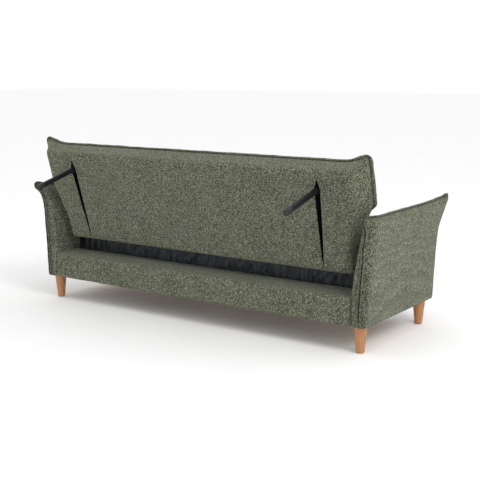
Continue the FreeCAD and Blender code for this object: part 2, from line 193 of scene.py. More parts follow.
class Shell:
    """Points and faces of one piece, gathered grid by grid."""

    def __init__(self):
        self.points = []
        self.faces = []

    def grid(self, points, keep=None):
        base = len(self.points)
        rows, columns = points.shape[:2]
        self.points.extend(tuple(point) for point in points.reshape(-1, 3))
        for i in range(rows - 1):
            for j in range(columns - 1):
                if keep is None or keep(i, j):
                    first = base + i * columns + j
                    face = (first, first + 1, first + columns + 1, first + columns)
                    self.faces.append(face)

    def fan(self, ring):
        """Closes a ring with one many-sided face."""
        base = len(self.points)
        self.points.extend(tuple(point) for point in ring)
        self.faces.append(tuple(range(base, base + len(ring))))

    def build(self, name, material, level=1):
        mesh = bpy.data.meshes.new(name)
        mesh.from_pydata(self.points, [], self.faces)
        work = bmesh.new()
        work.from_mesh(mesh)
        bmesh.ops.remove_doubles(work, verts=work.verts, dist=2e-5)
        bmesh.ops.dissolve_degenerate(work, edges=work.edges, dist=1e-6)
        bmesh.ops.recalc_face_normals(work, faces=work.faces)
        work.to_mesh(mesh)
        work.free()
        mesh.polygons.foreach_set("use_smooth", [True] * len(mesh.polygons))
        mesh.materials.append(material)
        piece = bpy.data.objects.new(name, mesh)
        link(piece)
        if level:
            modifier = piece.modifiers.new("rounding", "SUBSURF")
            modifier.levels = level
            modifier.render_levels = level
        return piece


# ---- materials ----------------------------------------------------------------------------------

class Material:
    """A procedural material on the Principled shader, in object coordinates."""

    def __init__(self, name, roughness=0.5, **fixed):
        self.material = bpy.data.materials.new(name)
        self.material.use_nodes = True
        self.tree = self.material.node_tree
        self.shader = self.tree.nodes["Principled BSDF"]
        self.shader.inputs["Roughness"].default_value = roughness
        for socket, value in fixed.items():
            self.shader.inputs[socket.replace("_", " ")].default_value = value
        self.place = self.node("TexCoord").outputs["Object"]

    def node(self, kind, inputs=None, **settings):
        made = self.tree.nodes.new("ShaderNode" + kind)
        for setting, value in settings.items():
            setattr(made, setting, value)
        for socket, value in (inputs or {}).items():
            if isinstance(value, bpy.types.NodeSocket):
                self.tree.links.new(value, made.inputs[socket])
            else:
                made.inputs[socket].default_value = value
        return made

    def scaled(self, scale, vector=None):
        """Coordinates stretched by a scale on each axis."""
        inputs = {"Vector": vector or self.place, "Scale": scale}
        return self.node("Mapping", inputs).outputs["Vector"]

    def noise(self, scale, detail=3.0, vector=None, roughness=0.5):
        inputs = {"Vector": vector or self.place, "Scale": scale, "Detail": detail}
        inputs["Roughness"] = roughness
        return self.node("TexNoise", inputs).outputs

    def cells(self, scale, vector=None, feature="F1", randomness=1.0):
        inputs = {"Vector": vector or self.place, "Scale": scale, "Randomness": randomness}
        return self.node("TexVoronoi", inputs, feature=feature).outputs

    def math(self, operation, *values):
        return self.node("Math", dict(enumerate(values)), operation=operation).outputs[0]

    def weighted(self, first, amount, second, other):
        """Sum of two values, each times its own weight."""
        first = self.math("MULTIPLY", first, amount)
        return self.math("ADD", first, self.math("MULTIPLY", second, other))

    def ramp(self, factor, stops):
        made = self.node("ValToRGB", {"Fac": factor})
        elements = made.color_ramp.elements
        while len(elements) < len(stops):
            elements.new(0.5)
        for element, (position, colour) in zip(elements, stops):
            element.position = position
            element.color = (*colour, 1.0)
        return made.outputs["Color"]

    def mix(self, factor, first, second, blend="MIX"):
        made = self.node("Mix", data_type="RGBA", blend_type=blend)
        for socket, value in ((made.inputs[0], factor), (made.inputs[6], first), (made.inputs[7], second)):
            if isinstance(value, bpy.types.NodeSocket):
                self.tree.links.new(value, socket)
            else:
                socket.default_value = value if isinstance(value, float) else (*value, 1.0)
        return made.outputs[2]

    def finish(self, colour, height=None, distance=0.001, strength=1.0, roughness=None):
        self.tree.links.new(colour, self.shader.inputs["Base Color"])
        if height is not None:
            inputs = {"Height": height, "Distance": distance, "Strength": strength}
            bump = self.node("Bump", inputs)
            self.tree.links.new(bump.outputs["Normal"], self.shader.inputs["Normal"])
        if roughness is not None:
            self.tree.links.new(roughness, self.shader.inputs["Roughness"])
        return self.material


def boucle_material(name="boucle_cloth", shade=1.0):
    """Looped yarn: small curls in dark olive to pale sage, over softly uneven cloth."""
    cloth = Material(name, 0.95, Sheen_Weight=0.22, Sheen_Roughness=0.55)
    cloth.shader.inputs["Sheen Tint"].default_value = (0.75, 0.80, 0.66, 1.0)
    cloth.shader.inputs["Specular IOR Level"].default_value = 0.12
    upright = cloth.scaled((1.40, 1.40, 0.85))
    wander = cloth.noise(150.0, 2.0, upright)["Color"]
    shift = cloth.node("VectorMath", {0: wander, 1: (0.0042,) * 3}, operation="MULTIPLY")
    curled = cloth.node("VectorMath", {0: upright, 1: shift.outputs[0]})
    loops = cloth.cells(200.0, curled.outputs[0], "F1", 0.8)
    strands = cloth.noise(520.0, 3.0, curled.outputs[0], 0.6)
    patches = cloth.noise(9.0, 2.0)
    single = cloth.node("SeparateColor", {"Color": loops["Color"]}).outputs[0]
    tone = cloth.math("MULTIPLY_ADD", single, 0.40, 0.43)
    fibre = cloth.math("MULTIPLY", strands[0], 0.55)
    tone = cloth.math("ADD", tone, fibre)
    tone = cloth.math("SUBTRACT", tone, cloth.math("MULTIPLY", loops["Distance"], 0.85))
    uneven = cloth.math("MULTIPLY", cloth.math("SUBTRACT", patches[0], 0.5), 0.10)
    tone = cloth.math("ADD", tone, uneven)
    tones = [
        (0.10, (0.016, 0.017, 0.011)),
        (0.35, (0.052, 0.056, 0.037)),
        (0.56, (0.127, 0.135, 0.092)),
        (0.76, (0.236, 0.245, 0.178)),
        (0.95, (0.420, 0.425, 0.335)),
    ]
    # A shade below 1 gives a darker copy of the cloth: painted shade.
    colour = cloth.ramp(tone, [(place, tuple(shade * c for c in tint)) for place, tint in tones])
    height = cloth.math("SUBTRACT", cloth.math("MULTIPLY", strands[0], 0.5),
                        loops["Distance"])
    return cloth.finish(colour, height, 0.0030, 0.75)


def lining_material(name, shade, roughness):
    """Black non-woven: pressed fibres with a fine dimple pattern, under upright streaks of painted fold
    highlight and shade.
    """
    # A shade below 1 gives a darker copy with weaker sheen and specular: painted shade.
    cloth = Material(name, roughness, Sheen_Weight=0.08 * shade, Sheen_Roughness=0.4)
    cloth.shader.inputs["Specular IOR Level"].default_value = 0.5 * shade
    fibres = cloth.noise(900.0, 4.0, cloth.scaled((1.0, 1.0, 0.5)), 0.7)
    dimples = cloth.cells(420.0, randomness=0.15)
    # Stretched noise in the colour: painted highlight and shade of upright folds.
    fold_light_and_shade = cloth.noise(55.0, 2.0, cloth.scaled((1.0, 0.4, 0.22)))
    factor = cloth.weighted(fibres[0], 0.25, fold_light_and_shade[0], 0.75)
    tones = [(0.34, (0.006, 0.008, 0.010)), (0.50, (0.022, 0.027, 0.035)), (0.66, (0.058, 0.068, 0.084))]
    colour = cloth.ramp(factor, [(place, tuple(c * shade for c in tint)) for place, tint in tones])
    height = cloth.math("ADD", dimples["Distance"], fibres[0])
    return cloth.finish(colour, height, 0.0004, 0.5)


def wood_material(name, dark, light, roughness, coat=0.0, ring=55.0):
    """Timber with its grain along Z."""
    wood = Material(name, roughness, Coat_Weight=coat, Coat_Roughness=0.25)
    bend = wood.noise(6.0, 2.0, wood.scaled((1.0, 1.0, 0.35)))
    drift = wood.node("VectorMath", {0: bend["Color"], 1: (0.02, 0.02, 0.0)},
                      operation="MULTIPLY")
    along = wood.node("VectorMath", {0: wood.place, 1: drift.outputs[0]})
    stretched = wood.scaled((1.0, 1.0, 0.06), along.outputs[0])
    rings = wood.node("TexWave", {"Vector": stretched, "Scale": ring, "Distortion": 3.5,
                                            "Detail": 2.0, "Detail Scale": 1.5})
    pores = wood.noise(620.0, 3.0, stretched, 0.65)
    flecks = wood.cells(260.0, wood.scaled((1.0, 1.0, 0.16), along.outputs[0]))
    factor = wood.weighted(rings.outputs["Fac"], 0.5, pores[0], 0.5)
    colour = wood.ramp(factor, [(0.15, dark), (0.80, light)])
    fleck = wood.math("LESS_THAN", flecks["Distance"], 0.16)
    colour = wood.mix(wood.math("MULTIPLY", fleck, 0.35), colour, tuple(0.55 * c for c in dark))
    return wood.finish(colour, pores[0], 0.0003, 0.35)


def board_material(name, dark, light, chip, roughness=0.8):
    """Pressed board: flat chips in mixed browns."""
    board = Material(name, roughness)
    chips = board.cells(chip, board.scaled((1.0, 1.0, 2.2)))
    dust = board.noise(chip * 3.0, 3.0)
    single = board.node("SeparateColor", {"Color": chips["Color"]}).outputs[0]
    factor = board.weighted(single, 0.65, dust[0], 0.35)
    colour = board.ramp(factor, [(0.15, dark), (0.85, light)])
    return board.finish(colour, chips["Distance"], 0.0005, 0.4)


def paint_material(name, dark, light, roughness, grain=700.0):
    """Powder coat: a fine orange peel with rubbed, slightly paler patches."""
    paint = Material(name, roughness)
    paint.shader.inputs["Specular IOR Level"].default_value = 0.2
    peel = paint.noise(grain, 2.0)
    rub = paint.noise(26.0, 4.0, None, 0.65)
    colour = paint.ramp(rub[0], [(0.35, dark), (0.75, light)])
    shine = paint.math("MULTIPLY_ADD", rub[0], 0.25, roughness - 0.12)
    return paint.finish(colour, peel[0], 0.0002, 0.5, shine)


def metal_material(name, dark, light, roughness):
    """Bare or plated steel with fine drawn lines."""
    metal = Material(name, roughness, Metallic=1.0)
    lines = metal.noise(240.0, 3.0, metal.scaled((0.08, 1.0, 1.0)), 0.6)
    stain = metal.noise(35.0, 3.0)
    colour = metal.ramp(stain[0], [(0.3, dark), (0.7, light)])
    shine = metal.math("MULTIPLY_ADD", lines[0], 0.3, roughness - 0.15)
    return metal.finish(colour, lines[0], 0.0001, 0.4, shine)


def webbing_material():
    """Elastic webbing: ribs across, with two pale lines woven in."""
    web = Material("woven_webbing", 0.75, Sheen_Weight=0.1)
    inputs = {"Vector": web.place, "Scale": 160.0, "Distortion": 0.4}
    ribs = web.node("TexWave", inputs, bands_direction="Z")
    fibre = web.noise(800.0, 3.0)
    factor = web.weighted(ribs.outputs["Fac"], 0.6, fibre[0], 0.4)
    colour = web.ramp(factor, [(0.2, (0.035, 0.030, 0.026)), (0.9, (0.16, 0.14, 0.12))])
    return web.finish(colour, ribs.outputs["Fac"], 0.0006, 0.6)


def grainy_material(name, dark, light, scale, roughness, distance=0.0006):
    """Felt, foam or rubber: a fine irregular grain."""
    grain = Material(name, roughness)
    coarse = grain.cells(scale)
    fine = grain.noise(scale * 2.5, 4.0, None, 0.7)
    factor = grain.weighted(coarse["Distance"], 0.5, fine[0], 0.6)
    colour = grain.ramp(factor, [(0.2, dark), (0.8, light)])
    return grain.finish(colour, factor, distance, 0.6)


def thread_material():
    """Sewing thread, twisted."""
    thread = Material("seam_thread", 0.7, Sheen_Weight=0.2)
    inputs = {"Vector": thread.place, "Scale": 900.0, "Distortion": 1.0}
    twist = thread.node("TexWave", inputs, bands_direction="DIAGONAL")
    colour = thread.ramp(twist.outputs["Fac"], [(0.2, (0.05, 0.056, 0.038)), (0.9, (0.12, 0.13, 0.09))])
    return thread.finish(colour, twist.outputs["Fac"], 0.0003, 0.6)


# A copy of the bouclé at 0.30 brightness: painted shade for the grooves beside the seams.
painted_shade_boucle = boucle_material("boucle_painted_seam_shade", 0.30)
# A copy of the black lining at 0.22 brightness, with weaker sheen and specular: painted shade inside the
# slits.
pocket_painted_shade_cloth = lining_material("slit_cloth_painted_shade", 0.22, 0.8)
materials = {
    "boucle": boucle_material(),
    "black_lining": lining_material("black_nonwoven", 1.0, 0.48),
    "foam": grainy_material("open_foam", (0.62, 0.55, 0.36), (0.86, 0.80, 0.60), 380.0, 0.95),
    "webbing": webbing_material(),
    "felt": grainy_material("grey_felt", (0.06, 0.055, 0.05), (0.17, 0.15, 0.14), 700.0, 0.95),
    "leg_wood": wood_material("lacquered_beech", (0.29, 0.120, 0.046), (0.52, 0.250, 0.104), 0.45, 0.12),
    "frame_wood": wood_material("raw_pine", (0.46, 0.30, 0.15), (0.72, 0.54, 0.33), 0.75, 0.0, 30.0),
    "board": board_material("chipboard", (0.30, 0.20, 0.11), (0.64, 0.49, 0.32), 190.0),
    "hardboard": board_material("brown_hardboard", (0.13, 0.075, 0.04), (0.28, 0.17, 0.095), 420.0, 0.6),
    "hinge_steel": paint_material("black_paint", (0.022, 0.026, 0.025), (0.055, 0.062, 0.060), 0.45),
    "charcoal_steel": paint_material("charcoal_powder_coat", (0.006, 0.007, 0.009),
                                     (0.013, 0.015, 0.018), 0.42),
    "zinc_steel": metal_material("zinc_plate", (0.42, 0.42, 0.40), (0.62, 0.62, 0.60), 0.38),
    "spring_steel": metal_material("oiled_spring", (0.16, 0.16, 0.16), (0.32, 0.32, 0.33), 0.35),
    "foot_rubber": grainy_material("moulded_cap", (0.007, 0.008, 0.009), (0.018, 0.021, 0.023), 520.0,
                                   0.6, 0.0002),
}
thread = thread_material()


def finish_cad_nodes():
    """Gives every CAD node the material of its slot."""
    for node in frame["nodes"].values():
        for slot in node.material_slots:
            slot.material = materials[slot.material.name.split(".")[0]]


# ---- seams --------------------------------------------------------------------------------------

def resampled(path, step):
    """The same path with evenly spaced points."""
    path = np.asarray(path, float)
    lengths = np.linalg.norm(np.diff(path, axis=0), axis=1)
    along = np.concatenate([[0], np.cumsum(lengths)])
    places = spread(0, along[-1], step)
    return np.stack([np.interp(places, along, path[:, k]) for k in range(3)], axis=-1)


def unit(vectors):
    return vectors / np.linalg.norm(vectors, axis=1, keepdims=True)


def seam_frames(path, across, middle):
    """Outward direction at each point of a path, square to it and to the across direction."""
    outward = unit(np.cross(unit(np.gradient(path, axis=0)), across))
    turn = np.sign(((path - middle) * outward).sum(axis=1).sum())
    return outward * turn


def flange_section(notch):
    """Half widths of a flange from its neck out to the notch between its two folded edges."""
    half = [(-0.45, 0.16), (0.02, 0.18), (0.26, 0.40), (0.60, 0.56), (0.90, 0.46), (1.04, 0.24)]
    return half + [(notch, 0.0)] + [(out, -across) for out, across in reversed(half)]


def make_flange(name, path, across, middle, width, thick, seed, notch=0.97, painted_shade_share=0.42):
    """A sewn flange: two folded edges standing out of a seam. Width may change along the path."""
    across = np.asarray(across, float)
    outward = seam_frames(path, across, middle)
    wave = lumps(path, 0.09, 0.0022, seed) + lumps(path, 0.03, 0.0010, seed + 1)
    swell = 1 + lumps(path, 0.06, 0.16, seed + 2)
    section = flange_section(notch)
    shell = Shell()
    rings = []
    for k, point in enumerate(path):
        centre = point + across * wave[k]
        ring = [centre + outward[k] * (n * width[k] * swell[k]) + across * (m * thick[k])
                for n, m in section]
        rings.append(ring + ring[:1])
    shell.grid(np.array(rings))
    shell.fan(rings[0][:-1])
    shell.fan(rings[-1][:-1])
    flange = shell.build(name, materials["boucle"])
    # The second slot holds the darker bouclé copy: painted shade at the flange's neck.
    flange.data.materials.append(painted_shade_boucle)
    paint_neck_shade(flange, np.asarray(path), outward, width * painted_shade_share)
    return flange


def paint_neck_shade(flange, path, outward, depth):
    """Painted shade: faces close to where a flange leaves its seam get the darker copy of the bouclé,
    standing in for the shadow in the seam's groove.
    """
    for face in flange.data.polygons:
        place = np.array(face.center)
        k = int(np.argmin(((path - place) ** 2).sum(axis=1)))
        if (place - path[k]) @ outward[k] < depth[k]:
            face.material_index = 1


def make_stitches(name, path, across, middle, offset, lift):
    """A row of short stitches on each side of a seam."""
    pitch, length, radius = 0.0085, 0.0048, 0.0006
    across = np.asarray(across, float)
    path = resampled(path, pitch)
    outward = seam_frames(path, across, middle)
    tangents = unit(np.gradient(path, axis=0))
    shell = Shell()
    for away in (-offset, offset):
        for k in range(1, len(path) - 1):
            centre = path[k] + outward[k] * lift + across * away
            rings = []
            for share, size in ((-0.5, 0.3), (-0.3, 1.0), (0.0, 1.15), (0.3, 1.0), (0.5, 0.3)):
                ring = []
                for turn in range(7):
                    angle = turn * math.pi / 3
                    spoke = across * math.cos(angle) + outward[k] * math.sin(angle)
                    ring.append(centre + tangents[k] * (share * length) + spoke * radius * size)
                rings.append(ring)
            shell.grid(np.array(rings))
            shell.fan(rings[0][:-1])
            shell.fan(rings[-1][:-1])
    return shell.build(name, thread, 0)


# ---- cushions -----------------------------------------------------------------------------------

def edge_steps(radius, depth, bends=6, lines=5, puff=0.0):
    """How a panel goes round its edge to the seam: (back from the edge, share of the run, depth)."""
    steps = []
    for angle in np.linspace(0, math.pi / 2, bends):
        steps.append((radius * (math.sin(angle) - 1), 0.0, radius * (1 - math.cos(angle))))
    for k in range(1, lines + 1):
        share = k / lines
        bulge = puff * math.sin(math.pi * share ** 1.6)
        steps.append((bulge, share, radius + (depth - radius) * share))
    return steps


def corner_rounded(x, s, half, end, radius):
    """Turns the square far corners of an outline into round ones."""
    p = np.clip((np.abs(x) - (half - radius)) / radius, 0, 1)
    q = np.clip((s - (end - radius)) / radius, 0, 1)
    new_p = p * np.sqrt(1 - q * q / 2)
    new_q = q * np.sqrt(1 - p * p / 2)
    return x + np.sign(x) * (new_p - p) * radius, s + (new_q - q) * radius


def coons(edge_grid):
    """A smooth inner grid that keeps the four borders of another one."""
    left, right = edge_grid[:, :1], edge_grid[:, -1:]
    low, high = edge_grid[:1], edge_grid[-1:]
    across = (low[0, :, 0] - low[0, 0, 0]) / (low[0, -1, 0] - low[0, 0, 0])
    along = (left[:, 0, 1] - left[0, 0, 1]) / (left[-1, 0, 1] - left[0, 0, 1])
    u = across[None, :, None]
    v = along[:, None, None]
    corners = (1 - u) * (1 - v) * low[:, :1] + u * (1 - v) * low[:, -1:]
    corners = corners + (1 - u) * v * high[:, :1] + u * v * high[:, -1:]
    return (1 - v) * low + v * high + (1 - u) * left + u * right - corners


def crowned(x, s, reach_side, reach_end, edge, peak, broad, seed):
    """Heights of a crowned face that falls to its seam on all sides, over soft and broad lumps."""
    rise = quarter(reach_side) ** 0.9 * quarter(reach_end) ** 0.9
    rise = rise * np.sin(np.clip(s / 0.12, 0, 1) * math.pi / 2)
    place = together(x, s, 0 * s)
    uneven = (lumps(place, 0.16, 0.003, seed) + lumps(place, *broad, seed + 1) - 0.003) * rise
    inside = np.zeros_like(rise)
    inside[1:-1, 1:-1] = 1
    return edge + ((peak - edge) * rise + uneven) * inside


def mirrored(right):
    """A whole outline from its right half."""
    left = right[:-1] * (-1, 1)
    return np.concatenate([right, left[::-1]])[::-1]


def back_half_rear(s):
    """Half width of the rear panel at a height."""
    return np.interp(s, FLANK_HEIGHTS, FLANK_REAR)


def back_half_seam(s):
    """Half width at the seam at a height."""
    return np.interp(s, FLANK_HEIGHTS, FLANK_SEAM)


def seam_depth(s):
    """Depth of the seam: further forward near the foot, close to the hinge pin."""
    near = 1 - smooth(np.asarray(s) / HINGE_FADE)
    return BACK_SEAM_DEPTH + (BACK_FOOT_DEPTH - BACK_SEAM_DEPTH) * near


def ear(x):
    """How far the top edge rises towards its corners."""
    share = (np.abs(x) - (BACK_HALF_SEAM - EAR_LENGTH)) / EAR_LENGTH
    return EAR_RISE * np.clip(share, 0, 1.1) ** 1.7


def slit_centre(s):
    """Distance of a slit from the middle, at a height."""
    return SLIT_X - (SLIT_PIVOT - s) * math.tan(SLIT_SLANT)


def slit_half(s):
    """Half width of a slit: nothing at both ends, widest where the leg leaves it."""
    below = float(np.clip((s - SLIT_BOTTOM) / (SLIT_WIDEST - SLIT_BOTTOM), 0, 1))
    above = float(np.clip((SLIT_TOP - s) / (SLIT_TOP - SLIT_WIDEST), 0, 1))
    return SLIT_HALF * min(below ** 0.7, above ** 1.15)


def rear_surface(x, s, t):
    """Unevenness of the rear panel: soft lumps, and the cloth drawn in beside the slits.

    Beside each leg's bracket lies a dimple, and below it a crease that runs inwards.
    """
    place = together(x, s, t)
    uneven = lumps(place, 0.11, 0.0016, 3) + lumps(place, 0.34, 0.0022, 4)
    beside = np.abs(np.abs(x) - slit_centre(s))
    near = np.exp(-(beside / 0.022) ** 2) * smooth(s / 0.1) * smooth((0.50 - s) / 0.06)
    dimple = np.exp(-((np.abs(x) - 0.655) / 0.030) ** 2 - ((s - 0.385) / 0.018) ** 2)
    crease = np.exp(-((s - 0.352) / 0.010) ** 2) * smooth((np.abs(x) - 0.42) / 0.2)
    crease = crease * smooth((0.73 - np.abs(x)) / 0.05)
    return uneven + 0.0028 * near + 0.0030 * dimple + 0.0012 * crease


def back_columns():
    """Columns of the rear panel, as (stretch between two break points, share of it)."""
    outer = np.linspace(0, 1, 10)
    inner = np.linspace(0, 1, int(round(2 * SLIT_X / STEP)))
    columns = [(0, share) for share in outer] + [(1, 1.0)]
    columns += [(2, share) for share in inner[1:]]
    columns += [(3, 1.0)] + [(4, share) for share in outer[1:]]
    return columns


def back_panel_x(s, radius):
    """Places of the panel's columns at a height, and which stretch ends at each."""
    edge = float(back_half_rear(s)) - radius
    centre, half = slit_centre(s), slit_half(s)
    breaks = [-edge, -centre - half, -centre + half, centre - half, centre + half, edge]
    return [breaks[k] + (breaks[k + 1] - breaks[k]) * share for k, share in back_columns()]


def back_heights():
    """Heights of the rear panel's rows, with one at each end and at the widest place of the slits."""
    heights = list(spread(SLIT_BOTTOM, SLIT_WIDEST, STEP))
    heights += list(spread(SLIT_WIDEST, SLIT_TOP, STEP))[1:]
    return heights + list(spread(SLIT_TOP, BACK_TOP_REAR - BACK_EDGE, STEP))[1:]


def back_row(s_flat, share, deep, side):
    """(x, s, t) along one row, from the right seam over the panel to the left one."""
    half_rear, half_seam = float(back_half_rear(s_flat)), float(back_half_seam(s_flat))
    x_panel = back_panel_x(s_flat, BACK_EDGE)
    x_side = [half_rear + back + run * (half_seam - half_rear) for back, run, _ in side[1:]]
    x = np.array([-value for value in reversed(x_side)] + x_panel + x_side)
    depth = [step[2] for step in side[1:]]
    a = np.array(depth[::-1] + [0.0] * len(x_panel) + depth) / BACK_SEAM_DEPTH
    full = float(seam_depth(s_flat))
    t = full * (1 - (1 - a) * (1 - deep / full))
    s = s_flat + share * (BACK_TOP_SEAM - BACK_TOP_REAR) * np.ones_like(x)
    rise = smooth((s_flat - 0.36) / (BACK_TOP_REAR - 0.36)) * ear(x) * t / full
    return x, s + rise, t


def slit_lip(x, s, t, heights, away):
    """The cloth turned in along one edge of a slit."""
    lip = []
    for out, deep in ((0.0, 0.0), (0.0008, 0.0035), (0.0035, 0.0070), (0.0080, 0.0085)):
        lip.append(leaned(x + away * out, s, t + deep))
    open_rows = [k for k, height in enumerate(heights) if height <= SLIT_TOP]
    return np.array(lip)[:, open_rows]


def back_front(x, s):
    """The crowned front inside a given outline."""
    front = coons(together(x, s))
    xf, sf = front[..., 0], front[..., 1]
    reach_x = (back_half_seam(sf) - np.abs(xf)) / 0.085
    reach_top = (BACK_TOP_SEAM + ear(xf) - sf) / 0.095
    tf = crowned(xf, sf, reach_x, reach_top, seam_depth(sf), BACK_FRONT, (0.5, 0.004), 8)
    return leaned(xf, sf, tf)


def make_back_cushion():
    """Rear panel with its open slits, edge panels out to the seam, and the crowned front."""
    side = edge_steps(BACK_EDGE, BACK_SEAM_DEPTH, 6, 8, BACK_PUFF)
    low = edge_steps(SLIT_BOTTOM, BACK_FOOT_DEPTH, 5)
    heights = back_heights()
    rows = [back_row(-back, 0.0, deep, side) for back, _, deep in reversed(low[1:])]
    rows += [back_row(height, 0.0, 0.0, side) for height in heights]
    rows += [back_row(BACK_TOP_REAR + back, share, deep, side) for back, share, deep in side[1:]]
    x, s, t = (np.array(values) for values in zip(*rows))
    x, s = corner_rounded(x, s, back_half_seam(s), BACK_TOP_SEAM + EAR_RISE, EAR_ROUND)
    flat = np.maximum(1 - t / BACK_SEAM_DEPTH, 0)
    t_rear = t + rear_surface(x, s, t) * flat
    stretches = [k for k, _ in back_columns()]
    slit_columns = [len(side) - 2 + stretches.index(k) for k in (1, 3)]
    first_row = len(low) - 1

    def keep(i, j):
        in_slit = first_row <= i < first_row + len(heights) - 1 and j in slit_columns
        if not in_slit:
            return True
        return slit_half(heights[i - first_row]) + slit_half(heights[i - first_row + 1]) == 0

    shell = Shell()
    shell.grid(leaned(x, s, t_rear), keep)
    panel = slice(first_row, first_row + len(heights))
    for j in slit_columns:
        for column, away in ((j, -1), (j + 1, 1)):
            edge = (panel, column)
            shell.grid(slit_lip(x[edge], s[edge], t_rear[edge], heights, away))
    shell.grid(back_front(x, s))
    return shell.build("back_cushion", materials["boucle"])


def back_seam_path():
    """The seam round the backrest, from the left flank over the top to the right one."""
    flank = spread(BACK_FLANGE_START, BACK_TOP_SEAM + EAR_RISE, 0.004)
    right = [(float(back_half_seam(s)), s) for s in flank]
    half = BACK_HALF_SEAM
    top = [(x, BACK_TOP_SEAM + float(ear(x))) for x in spread(half, 0, 0.004)]
    points = np.array(right + top)
    x, s = corner_rounded(points[:, 0], points[:, 1], half, BACK_TOP_SEAM + EAR_RISE, EAR_ROUND)
    both = mirrored(together(x, s))
    path = leaned(both[:, 0], both[:, 1], np.full(len(both), BACK_SEAM_DEPTH))
    return resampled(path, 0.008)


def make_back_seam():
    path = back_seam_path()
    forward = leaned(0.0, 0.0, 1.0) - leaned(0.0, 0.0, 0.0)
    up = leaned(0.0, 1.0, 0.0) - leaned(0.0, 0.0, 0.0)
    middle = leaned(0.0, 0.25, BACK_SEAM_DEPTH)
    height = (path - middle) @ up + 0.25
    end = smooth((height - 0.284) / 0.035)
    flank = smooth((np.abs(path[:, 0]) - 0.88) / 0.04) * smooth((0.54 - height) / 0.03)
    width = (FLANGE + (FLANGE_SIDE - FLANGE) * flank) * (0.25 + 0.75 * end)
    thick = FLANGE_THICK * (0.45 + 0.55 * end)
    flange = make_flange("back_flange", path, forward, middle, width, thick, 20)
    stitches = make_stitches("back_stitches", path, forward, middle, 0.0046, 0.0030)
    return flange, stitches


def make_slit_pocket(side, name):
    """A black cloth pocket behind a slit, deep where the folded support leg lies."""
    low, high, shallow, deepest = SLIT_BOTTOM + 0.004, 0.443, 0.0085, 0.0465
    rows = []
    for s in spread(low, high, STEP / 2):
        room = float(smooth((s - 0.062) / 0.016))
        deep = 0.0105 + (deepest - 0.0105) * room
        lip = slit_half(s) + 0.0025
        half = lip + (POCKET_HALF - lip) * room
        half_way = (shallow + deep) / 2
        section = [(-lip, 0.0055), (-half, shallow), (-half, half_way), (0.003 - half, deep - 0.0005),
                   (0.0, deep), (half - 0.003, deep - 0.0005), (half, half_way), (half, shallow),
                   (lip, 0.0055)]
        place = np.array([[0.0, s, k * 0.02] for k in range(len(section))])
        crumple = lumps(place, 0.03, 0.0012, 30) * room
        rows.append([leaned(side * (slit_centre(s) + x), s, t + c) for (x, t), c in zip(section, crumple)])
    shell = Shell()
    shell.grid(np.array(rows))
    shell.fan(rows[0])
    shell.fan(rows[-1])
    # The pocket wears the darker lining copy: painted shade inside the slit.
    pocket = shell.build(name, pocket_painted_shade_cloth)
    return pocket


def seat_edge(s):
    """Height of the seat's seam: higher at the rear, close to the hinge pin."""
    return SEAT_SEAM + (SEAT_REAR_SEAM - SEAT_SEAM) * (1 - smooth(s / HINGE_FADE))


def seat_top(x, s):
    """The crowned top inside a given outline."""
    top = coons(together(x, s))
    xf, sf = top[..., 0], top[..., 1]
    reach_x = (SEAT_HALF - np.abs(xf)) / 0.10
    reach_front = (SEAT_DEPTH - sf) / 0.12
    tf = crowned(xf, sf, reach_x, reach_front, seat_edge(sf), SEAT_TOP, (0.45, 0.005), 12)
    return seated(xf, sf, tf)


def make_seat_cushion():
    """Underside, edge panels up to the seam, and the crowned top."""
    steps = edge_steps(SEAT_EDGE, SEAT_SEAM, 5, 5)
    columns = list(spread(-SEAT_HALF + SEAT_CORNER, SEAT_HALF - SEAT_CORNER, STEP))
    s_rows = [(-back, deep) for back, _, deep in reversed(steps[1:])]
    s_rows += [(height, 0.0) for height in spread(SEAT_CORNER, SEAT_DEPTH - SEAT_CORNER, STEP)]
    s_rows += [(SEAT_DEPTH + back, deep) for back, _, deep in steps[1:]]
    x_side = [(SEAT_HALF + back, deep) for back, _, deep in steps[1:]]
    x_line = np.array([-x for x, _ in reversed(x_side)] + columns + [x for x, _ in x_side])
    depth = [deep for _, deep in x_side]
    a = np.array(depth[::-1] + [0.0] * len(columns) + depth) / SEAT_SEAM
    b = np.array([deep for _, deep in s_rows]) / SEAT_SEAM
    x, s = np.meshgrid(x_line, [s for s, _ in s_rows])
    t = seat_edge(s) * (1 - (1 - a[None, :]) * (1 - b[:, None]))
    x, s = corner_rounded(x, s, SEAT_HALF, SEAT_DEPTH, SEAT_CORNER)
    bulge = np.sin(np.clip(t / SEAT_SEAM, 0, 1) * math.pi)
    front = smooth((s - SEAT_DEPTH + 0.03) / 0.03)
    puff = 0.006 * front * bulge
    shell = Shell()
    shell.grid(seated(x, s + puff, t))
    shell.grid(seat_top(x, s))
    return shell.build("seat_cushion", materials["boucle"])


def make_seat_seam():
    flank = [(SEAT_HALF, s) for s in spread(SEAT_FLANGE_START, SEAT_DEPTH, 0.004)]
    front = [(x, SEAT_DEPTH) for x in spread(SEAT_HALF, 0, 0.004)]
    points = np.array(flank + front)
    x, s = corner_rounded(points[:, 0], points[:, 1], SEAT_HALF, SEAT_DEPTH, SEAT_CORNER)
    both = mirrored(together(x, s))
    path = resampled(seated(both[:, 0], both[:, 1], np.full(len(both), SEAT_SEAM)), 0.008)
    middle = seated(0.0, 0.3, SEAT_SEAM)
    on_front = smooth((seat_low.y + 0.05 - path[:, 1]) / 0.04)
    end = smooth((seat_high.y - SEAT_FLANGE_START - path[:, 1]) / 0.05)
    width = (0.0055 + 0.006 * on_front) * (0.3 + 0.7 * end)
    thick = 0.009 * (0.5 + 0.5 * end)
    flange = make_flange("seat_flange", path, (0, 0, 1), middle, width, thick, 40)
    stitches = make_stitches("seat_stitches", path, (0, 0, 1), middle, 0.0042, 0.0025)
    return flange, stitches


# ---- arms ---------------------------------------------------------------------------------------

